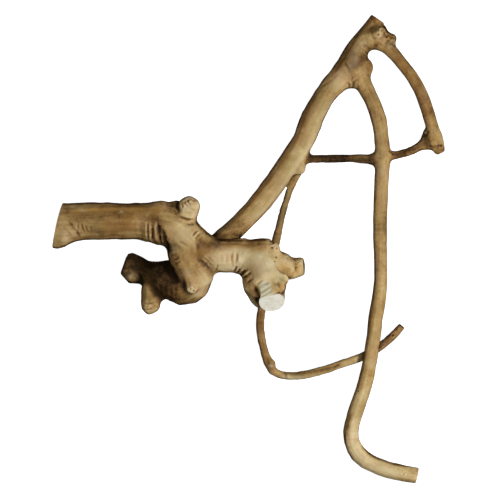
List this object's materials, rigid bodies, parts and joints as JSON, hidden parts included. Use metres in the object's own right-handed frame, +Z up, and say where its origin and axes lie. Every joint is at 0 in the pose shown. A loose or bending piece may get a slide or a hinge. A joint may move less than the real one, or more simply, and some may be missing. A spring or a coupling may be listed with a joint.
{
  "type": "bird perch branch",
  "caption": "Pruned multi-branch hardwood perch limb lying on its side: a stout arm, a bent elbow limb and a long forked branch tied together by thin twigs.",
  "frame": {"origin": "on the surface that the branch lies on, under the middle of its box", "axes": "+Z up from that surface, +Y towards the crown of burrs at the tip of the long branch, +X from the stout arm towards the arc"},
  "size_m": [0.5098, 0.6114, 0.1136],
  "materials": {
    "wood": "weathered bare heartwood, honey tan to grey brown, satin",
    "twig_wood": "darker bare twig wood, matt"
  },
  "bodies": {
    "root": {"trunk": "wood", "left_arm": "wood", "elbow_limb": "wood", "long_branch": "wood", "arc_branch": "wood", "drooping_branch": "wood", "cross_twig_left": "twig_wood", "cross_twig_right": "twig_wood", "back_twig": "twig_wood"}
  },
  "joints": []
}
